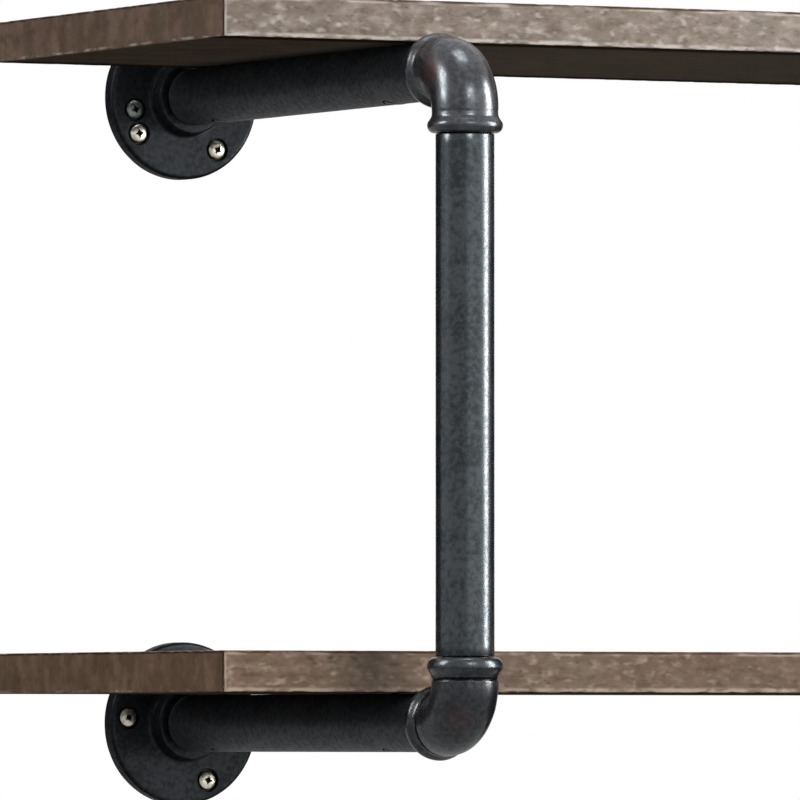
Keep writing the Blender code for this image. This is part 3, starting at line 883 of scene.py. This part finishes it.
def build_elbows(materials):
    """The four elbows. A lower one is the same casting turned a quarter about X."""
    for seed, (side, tier) in enumerate(CORNERS):
        node = f"{side}_{tier}_elbow"
        upright, arm = middle(f"{side}_upright"), middle(f"{side}_{tier}_arm")
        turn = Matrix.Identity(4) if tier == "upper" else Matrix.Rotation(math.radians(90), 4, "X")
        mesh = elbow_mesh(node, tier, SHAPE_SEED["elbow"] + seed, turn)
        add_piece(node, mesh, materials[tier], (upright.x, upright.y, arm.z))


def flange_mesh(name, rim, hub_height, screw_places, seed):
    """A cast flange along Z from the wall to its hub's face, threaded through and drilled for screws."""
    rim_centre = (rim - FLANGE_RIM_ROUND, FLANGE_THICKNESS - FLANGE_RIM_ROUND)
    fillet_centre = (HUB_RADIUS + HUB_FILLET, FLANGE_THICKNESS + HUB_FILLET)
    flat_start, flat_end = HUB_RADIUS + HUB_FILLET, rim - FLANGE_RIM_ROUND
    outline = [(rim - EDGE_BREAK, 0), (rim, EDGE_BREAK)]
    outline += arc(rim_centre, FLANGE_RIM_ROUND, 0, 90, RIM_RINGS)
    for i in range(1, PLATE_RINGS):
        outline.append((flat_end + (flat_start - flat_end) * i / PLATE_RINGS, FLANGE_THICKNESS))
    outline += arc(fillet_centre, HUB_FILLET, 270, 180, FILLET_RINGS)
    outline += [(HUB_RADIUS, FLANGE_THICKNESS + HUB_FILLET + HUB_RING_RISE)]
    hub_centre = (HUB_RADIUS - HUB_CHAMFER, hub_height - HUB_CHAMFER)
    outline += arc(hub_centre, HUB_CHAMFER, 0, 90, CHAMFER_RINGS)
    stations = [(height, radius, "skin") for radius, height in outline]
    stations += [(hub_height, SOCKET_RADIUS + SOCKET_LEAD_IN, "plain")]
    for i in range(SOCKET_RINGS):
        height = (hub_height - SOCKET_THREAD_START) * (1 - i / SOCKET_RINGS)
        stations.append((height, SOCKET_RADIUS, "thread"))
    stations.append((0, SOCKET_RADIUS + PIPE_THREAD_DEPTH, "plain"))
    rings = turned_rings(stations, FLANGE_STEPS, FLANGE_WAVE, CAST_WAVE_SIZE, seed)
    floor = FLANGE_THICKNESS - WALL_COUNTERBORE_DEPTH
    face, past = FLANGE_THICKNESS - SKIN_DIP, FLANGE_THICKNESS + CUT_PAST
    cutters = []
    for x, z in screw_places:
        stand = Matrix.Translation((x, z, 0))
        cutters.append(hole_cutter(WALL_COUNTERBORE_RADIUS, floor, -CUT_PAST, face, past, stand))
    return cut(mesh_of_rings(rings, name), cutters, name)


def screws_of(side, tier):
    """The wall screw nodes of one flange."""
    start = f"{side}_{tier}_wall_screw_"
    return sorted(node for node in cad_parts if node.startswith(start))


def build_flanges(material):
    """The four flanges, each with the holes of its own screws."""
    for seed, (side, tier) in enumerate(CORNERS):
        node = f"{side}_{tier}_flange"
        low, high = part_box(node)
        centre = middle(node)
        screws = [middle(screw) for screw in screws_of(side, tier)]
        places = [(screw.x - centre.x, screw.z - centre.z) for screw in screws]
        rim = (high.x - low.x) / 2
        mesh = flange_mesh(node, rim, high.y - low.y, places, SHAPE_SEED["flange"] + seed)
        stand = (centre.x, high.y, centre.z)
        add_piece(node, mesh, material, stand, (math.radians(90), 0, 0))


def recess_cutter(width, slot, pit, depth, top):
    """A cutter for a tapered cross recess round a pit."""
    bm = bmesh.new()
    layers = []
    for height, share in zip((top + RECESS_CUT_PAST, top - depth), RECESS_TAPER):
        half, arm, round_part = width / 2 * share, slot / 2 * share, pit / 2 * share
        outline = []
        for i in range(4):
            turn = Matrix.Rotation(i * math.pi / 2, 3, "Z")
            start = math.asin(min(1, arm / round_part))
            corners = [(half, -arm), (half, arm)]
            for j in range(RECESS_CORNER_STEPS + 1):
                angle = start + (math.pi / 2 - 2 * start) * j / RECESS_CORNER_STEPS
                corners.append((round_part * math.cos(angle), round_part * math.sin(angle)))
            outline += [turn @ Vector((x, y, 0)) + Vector((0, 0, height)) for x, y in corners]
        layers.append([bm.verts.new(point) for point in outline])
    upper, lower = layers
    bm.faces.new(upper)
    bm.faces.new(lower[::-1])
    for i in range(len(upper)):
        j = (i + 1) % len(upper)
        bm.faces.new((upper[i], lower[i], lower[j], upper[j]))
    return mesh_from(bm, "recess_cutter")


def screw_mesh(name, head, length, recess):
    """A threaded screw along Z: its head's underside at 0, its point a length below."""
    count = round((length - SCREW_NECK_LENGTH) / SCREW_PITCH * SCREW_TURN_RINGS)
    angles = np.arange(SCREW_STEPS) * math.tau / SCREW_STEPS
    rings = [np.tile((0.0, 0.0, -length), (SCREW_STEPS, 1))]
    for i in range(1, count + 1):
        height = -length + (length - SCREW_NECK_LENGTH) * i / count
        taper = min(1, (height + length) / SCREW_POINT_LENGTH)
        fade = min(1, (-SCREW_NECK_LENGTH - height) / SCREW_PITCH)
        crest = (SCREW_CREST_RADIUS - SCREW_ROOT_RADIUS) * taper * max(0, fade)
        turns = height / SCREW_PITCH - angles / math.tau
        radii = SCREW_ROOT_RADIUS * taper ** SCREW_POINT_FULLNESS + crest * ridge(turns) ** 2
        rings.append(ring_of(radii, angles, height))
    neck = SCREW_ROOT_RADIUS * SCREW_NECK_SWELL
    outline = [(neck, -SCREW_NECK_LENGTH + SCREW_NECK_BLEND), (neck, 0), *head]
    rings += turned_rings([(height, radius, "plain") for radius, height in outline], SCREW_STEPS)
    return cut(mesh_of_rings(rings, name), [recess], name)


def pan_head(radius, height):
    """Outline of a domed head from its underside to the axis."""
    brim = height * HEAD_BRIM_SHARE
    outline = [(radius - HEAD_BRIM_BREAK, 0), (radius, HEAD_BRIM_BREAK), (radius, brim)]
    for i in range(1, HEAD_RINGS):
        angle = math.pi / 2 * i / HEAD_RINGS
        share = math.cos(angle) ** HEAD_FULLNESS
        outline.append((radius * share, brim + (height - brim) * math.sin(angle)))
    return outline + [(0, height)]


def screw_like(node, axis, head_height, recess, name):
    """The mesh of a screw as big as a node's box, in which it lies along an axis."""
    low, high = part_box(node)
    head = pan_head((high.x - low.x) / 2, head_height)
    return screw_mesh(name, head, high[axis] - low[axis] - head_height, recess_cutter(*recess, head_height))


def build_screws(bright, dull, black):
    """Every screw, each turned its own way."""
    wall_screw = screw_like("left_upper_wall_screw_1", 1, WALL_HEAD_HEIGHT, WALL_RECESS, "wall_screw")
    dull_screw = wall_screw.copy()
    turn = 0.0
    for side, tier in CORNERS:
        for node in screws_of(side, tier):
            centre = middle(node)
            stand = (centre.x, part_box(node)[0].y + WALL_HEAD_HEIGHT, centre.z)
            spare = node.endswith(SPARE_SCREW)
            mesh, metal = (dull_screw, dull) if spare else (wall_screw, bright)
            add_piece(node, mesh, metal, stand, (math.radians(90), turn, 0))
            turn += SCREW_TURN
    first = "left_upper_board_screw_front"
    board_screw = screw_like(first, 2, BOARD_HEAD_HEIGHT, BOARD_RECESS, "board_screw")
    for side, tier in CORNERS:
        for end in ("front", "back"):
            node = f"{side}_{tier}_board_screw_{end}"
            centre = middle(node)
            stand = (centre.x, centre.y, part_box(node)[0].z + BOARD_HEAD_HEIGHT)
            add_piece(node, board_screw, black, stand, (math.pi, 0, turn))
            turn += SCREW_TURN


def board_lines(half, spacing):
    """Where grid lines cross one side of a board, close together near its edges."""
    edge = [half - BOARD_ROUND * share for share in BOARD_ROUND_SHARES]
    edge += [half - margin for margin in BOARD_MARGINS]
    inner = edge[-1]
    count = round(2 * inner / spacing)
    lines = [inner * (2 * i / count - 1) for i in range(1, count)]
    return [-value for value in edge] + lines + edge[::-1]


def board_mesh(name, size, seed):
    """A board about its own middle, its edges rounded and chipped."""
    half = size / 2
    lines = [board_lines(side, spacing) for side, spacing in zip(half, BOARD_SPACING)]
    bm = bmesh.new()
    for axis in range(3):
        first, second = (axis + 1) % 3, (axis + 2) % 3
        for sign in (-1, 1):
            grid = []
            for u in lines[first]:
                row = []
                for v in lines[second]:
                    point = Vector((0, 0, 0))
                    point[axis] = sign * half[axis]
                    point[first] = u
                    point[second] = v
                    row.append(bm.verts.new(point))
                grid.append(row)
            for row, following in zip(grid, grid[1:]):
                for i in range(len(row) - 1):
                    bm.faces.new((row[i], row[i + 1], following[i + 1], following[i]))
    bmesh.ops.remove_doubles(bm, verts=bm.verts, dist=MERGE_DISTANCE)
    shift = Vector([seed * step for step in CHIP_SEED_STEPS])
    for vert in bm.verts:
        vert.co = worn_corner(vert.co, half, shift)
    return mesh_from(bm, name)


def worn_corner(point, half, shift):
    """Where a point of a sharp-cornered board lies once its edges are rounded and chipped."""
    inner = Vector([max(-h + BOARD_ROUND, min(h - BOARD_ROUND, c)) for c, h in zip(point, half)])
    rounded = inner + (point - inner).normalized() * BOARD_ROUND
    depths = sorted((h - abs(c), i) for i, (c, h) in enumerate(zip(point, half)))
    edge = depths[1][0]
    if edge > CHIP_REACH:
        return rounded
    inward = Vector((0, 0, 0))
    for _, i in depths[:2]:
        inward[i] = -math.copysign(1, point[i])
    near = 1 - edge / CHIP_REACH
    chip = max(0, noise.noise(rounded / CHIP_SIZE + shift) - CHIP_START)
    small = max(0, noise.noise(rounded * SMALL_CHIP_FINENESS / CHIP_SIZE + shift) - SMALL_CHIP_START)
    chip += SMALL_CHIP_SHARE * small
    return rounded + inward.normalized() * min(1, chip * CHIP_GAIN) * near * near * CHIP_DEPTH


def build_boards():
    """The two boards."""
    for seed, tier in enumerate(TIERS):
        node = f"{tier}_board"
        low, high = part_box(node)
        mesh = board_mesh(node, high - low, SHAPE_SEED["board"] + seed)
        wood = board_wood(f"{tier}_board_wood", (high - low) / 2, tier)
        add_piece(node, mesh, wood, middle(node))


# Studio


def aim(obj, target):
    """Turns a lamp or camera to face a point."""
    obj.rotation_euler = (Vector(target) - obj.location).to_track_quat("-Z", "Y").to_euler()


def away(azimuth, elevation):
    """The direction at an angle from the shelf's front that grows to the right."""
    side, rise = math.radians(azimuth), math.radians(elevation)
    return Vector((math.sin(side) * math.cos(rise), -math.cos(side) * math.cos(rise), math.sin(rise)))


def show_only_to(sheet, ray):
    """Hides a stage sheet from every kind of ray but one."""
    for kind in RAYS:
        setattr(sheet, f"visible_{kind}", kind == ray)


def add_sheet(name, width, height):
    """A flat stage sheet that faces +Z."""
    mesh = bpy.data.meshes.new(name)
    x, y = width / 2, height / 2
    mesh.from_pydata([(-x, -y, 0), (x, -y, 0), (x, y, 0), (-x, y, 0)], [], [(0, 1, 2, 3)])
    sheet = bpy.data.objects.new(name, mesh)
    bpy.context.scene.collection.objects.link(sheet)
    return sheet


def add_lamp(name, azimuth, elevation, distance, width, height, watts, use):
    """A soft box that faces the shelf and lights the colours, is mirrored in what shines, or both."""
    light = bpy.data.lights.new(name, "AREA")
    light.shape = "RECTANGLE"
    light.size = width
    light.size_y = height
    light.energy = watts
    lamp = bpy.data.objects.new(name, light)
    bpy.context.scene.collection.objects.link(lamp)
    lamp.location = LIT_POINT + away(azimuth, elevation) * distance
    aim(lamp, LIT_POINT)
    lamp.visible_camera = False
    lamp.visible_diffuse = use != "mirrored"
    lamp.visible_glossy = use != "lights"


def add_card(name, azimuth, elevation, distance, width, height):
    """A dark card that only reflections see."""
    card = add_sheet(name, width, height)
    card.location = LIT_POINT + away(azimuth, elevation) * distance
    aim(card, LIT_POINT)
    nodes = Nodes(f"{name}_paper")
    nodes.set(
        Base_Color=nodes.mix(nodes.spots((0.5, 0.5, 0.5)), *CARD_TONES),
        Roughness=0.9,
        Specular_IOR_Level=0.0,
    )
    card.data.materials.append(nodes.material)
    show_only_to(card, "glossy")


def build_surround():
    """A world that is white where it is seen or reflected, and dim where it only lights."""
    world = bpy.data.worlds.new("surround")
    bpy.context.scene.world = world
    world.use_nodes = True
    tree = world.node_tree
    background = tree.nodes["Background"]
    background.inputs["Color"].default_value = (1, 1, 1, 1)
    path = tree.nodes.new("ShaderNodeLightPath")
    seen = path.outputs["Is Camera Ray"]
    for name in ("Is Glossy Ray", "Is Transmission Ray"):
        either = tree.nodes.new("ShaderNodeMath")
        either.operation = "MAXIMUM"
        tree.links.new(seen, either.inputs[0])
        tree.links.new(path.outputs[name], either.inputs[1])
        seen = either.outputs[0]
    level = tree.nodes.new("ShaderNodeMapRange")
    level.inputs["To Min"].default_value = AMBIENT
    level.inputs["To Max"].default_value = 1
    tree.links.new(seen, level.inputs["Value"])
    tree.links.new(level.outputs[0], background.inputs["Strength"])


def build_floor():
    """A pale floor that shows the shelf's shadow, throws little light up, and isn't there from below."""
    floor = add_sheet("floor", FLOOR_SIZE, FLOOR_SIZE)
    floor.location = (0, 0, FLOOR_HEIGHT)
    nodes = Nodes("floor_paint")
    path = nodes.add("LightPath").outputs
    pale = nodes.mix(nodes.ramp(nodes.spots((0.4, 0.4, 0.4)), 0.3, 0.7), *FLOOR_TONES)
    seen, mirrored = path["Is Camera Ray"], path["Is Glossy Ray"]
    own = nodes.times(seen, nodes.ramp(nodes.distance((0, 0, 0)), *FLOOR_GLOW_REACH, *FLOOR_GLOWS))
    nodes.set(
        Base_Color=nodes.mix(seen, FLOOR_TONE_FOR_LIGHT, pale),
        Roughness=0.9,
        Specular_IOR_Level=0.0,
        Emission_Color=(1, 1, 1),
        Emission_Strength=nodes.math("ADD", own, nodes.times(mirrored, FLOOR_GLOSSY_GLOW)),
        Alpha=nodes.front(),
    )
    floor.data.materials.append(nodes.material)


def build_wall():
    """The white wall that the flanges stand on. Only the camera sees it, and only from the room."""
    wall = add_sheet("wall", FLOOR_SIZE, WALL_HEIGHT)
    wall.location = (0, WALL_GAP, FLOOR_HEIGHT + WALL_HEIGHT / 2)
    wall.rotation_euler = (math.radians(90), 0, 0)
    nodes = Nodes("wall_paint")
    foot = -WALL_HEIGHT / 2
    _, height, _ = nodes.parts(nodes.at)
    nodes.set(
        Base_Color=(0, 0, 0),
        Specular_IOR_Level=0.0,
        Emission_Color=(1, 1, 1),
        Emission_Strength=nodes.ramp(height, foot, foot + WALL_FOOT_REACH, WALL_FOOT_GLOW, 1),
        Alpha=nodes.front(),
    )
    wall.data.materials.append(nodes.material)
    show_only_to(wall, "camera")


def build_studio():
    """Surround, floor, wall, soft lamps and dark cards."""
    bpy.context.scene.view_settings.view_transform = "Standard"
    build_surround()
    build_floor()
    build_wall()
    for name, settings in LAMPS.items():
        add_lamp(name, *settings)
    for name, settings in CARDS.items():
        add_card(name, *settings)


def build_camera():
    """The photograph's camera."""
    data = bpy.data.cameras.new("photo_camera")
    data.lens = CAMERA_LENS
    data.sensor_width = SENSOR_WIDTH
    data.clip_start, data.clip_end = CAMERA_CLIP
    camera = bpy.data.objects.new("photo_camera", data)
    bpy.context.scene.collection.objects.link(camera)
    camera.location = CAMERA_TARGET + away(CAMERA_AZIMUTH, CAMERA_ELEVATION) * CAMERA_DISTANCE
    aim(camera, CAMERA_TARGET)
    bpy.context.scene.camera = camera


build_camera()
build_studio()

coats = {name: coated_metal(name, **settings) for name, settings in COATS.items()}
metals = {name: plated_metal(name, *settings) for name, settings in METALS.items()}

build_uprights(coats["gunmetal_coat"])
build_arms(coats["arm_coat"])
# The upper elbows take the lighter coat and the lower ones the darker: painted light and shade
build_elbows({tier: coats[f"{tier}_cast_coat"] for tier in TIERS})
build_flanges(coats["flange_coat"])
build_screws(metals["bright_screw"], metals["dull_screw"], coats["black_screw"])
build_boards()

bpy.context.view_layer.update()
